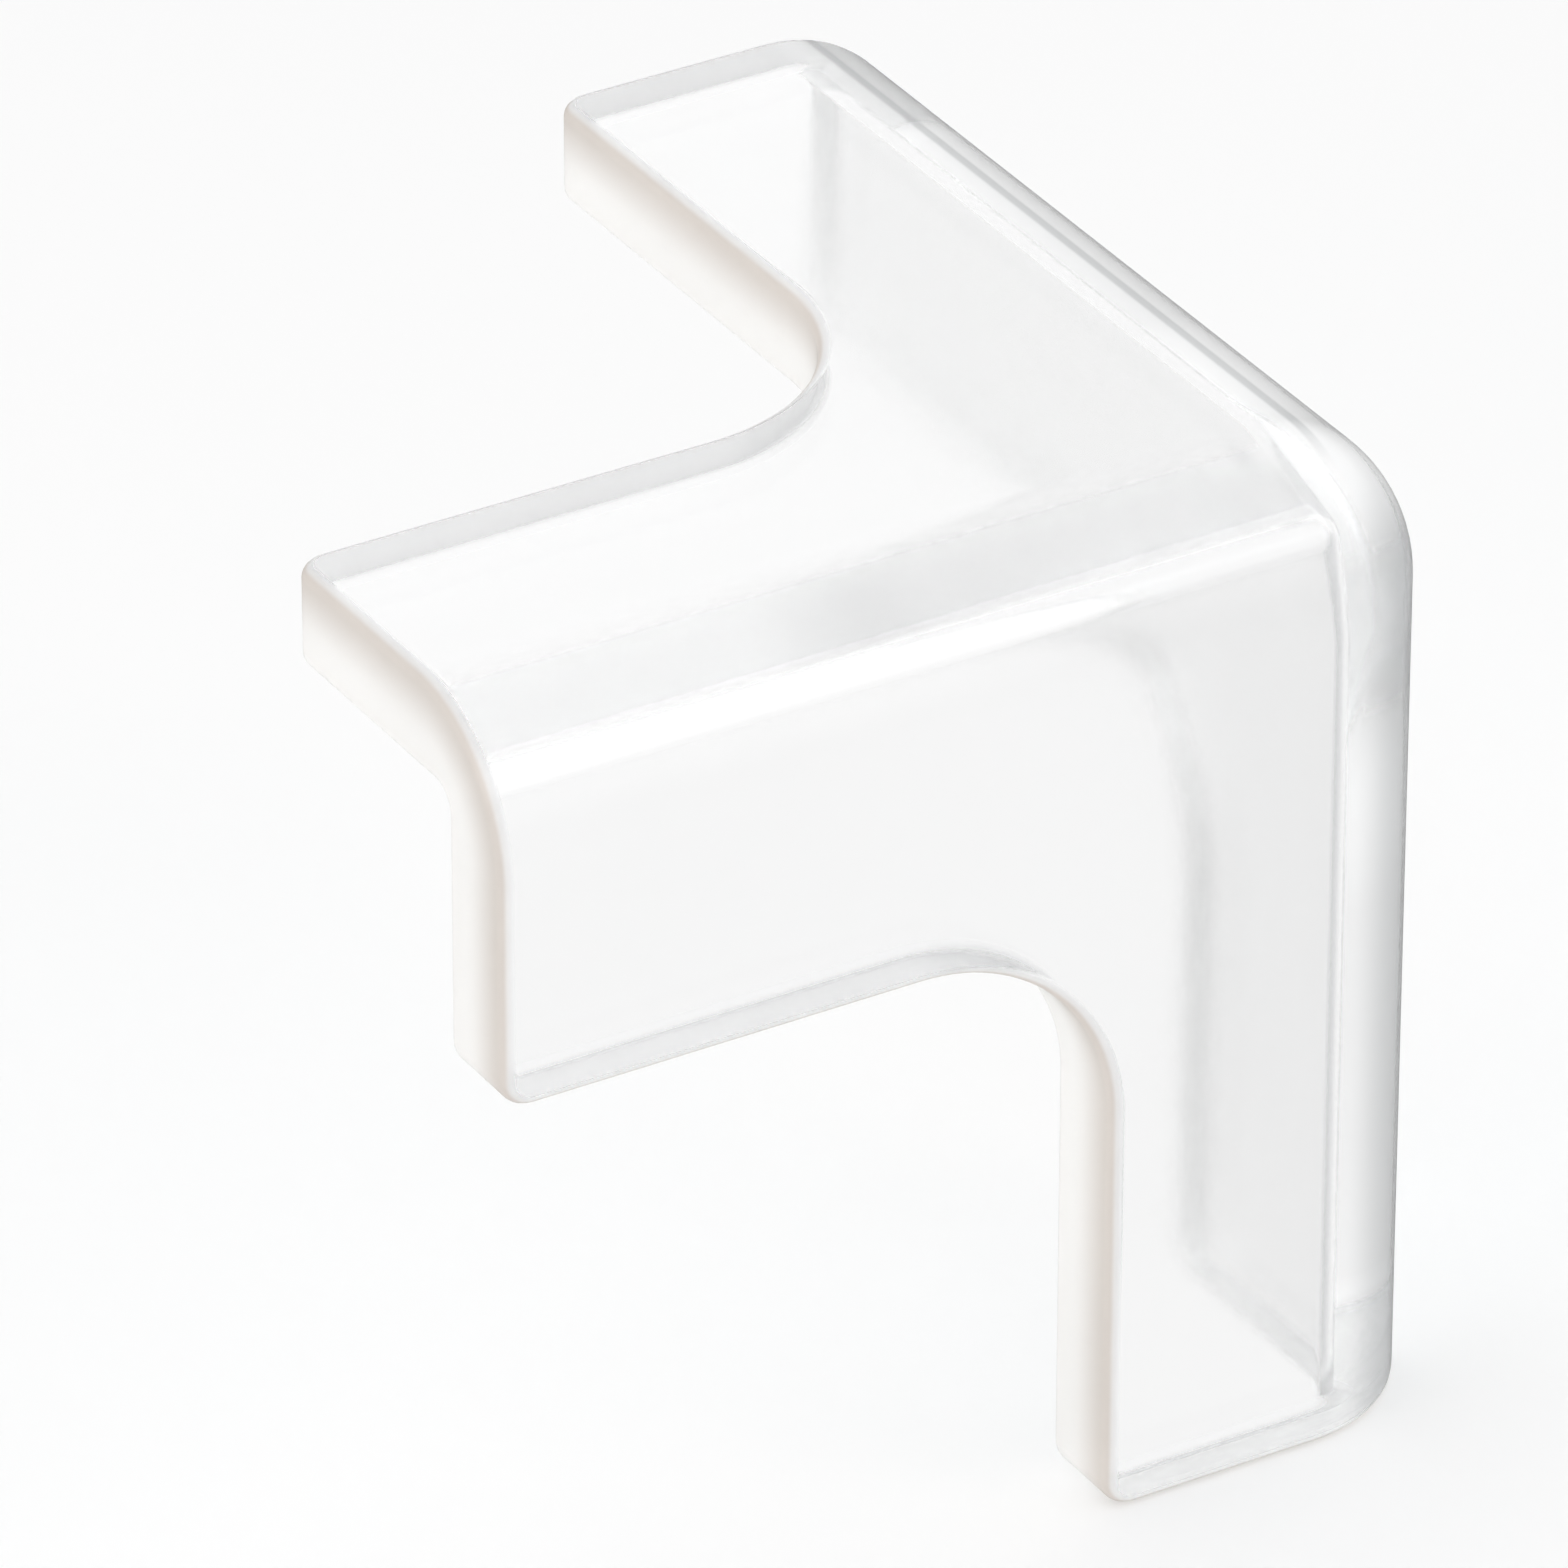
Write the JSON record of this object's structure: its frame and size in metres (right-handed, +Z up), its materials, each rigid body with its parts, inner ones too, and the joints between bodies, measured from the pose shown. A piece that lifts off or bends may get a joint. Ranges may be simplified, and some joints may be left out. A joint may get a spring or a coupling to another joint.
{
  "type": "furniture corner protector",
  "caption": "Clear soft guard that wraps a table or shelf corner, with three L-shaped flanges, rounded outer edges and a rounded notch in each face.",
  "frame": {"origin": "the corner of the furniture that the guard covers, where its three seat faces would meet", "axes": "as fitted on a near right-hand top corner: +Z up, +X out through the side flange, -Y out through the front flange; the arms run towards -X, +Y and -Z"},
  "size_m": [0.04, 0.04, 0.04],
  "materials": {
    "clear_pvc": "clear soft PVC, glossy as moulded"
  },
  "bodies": {
    "root": {"corner_guard": "clear_pvc"}
  },
  "joints": []
}
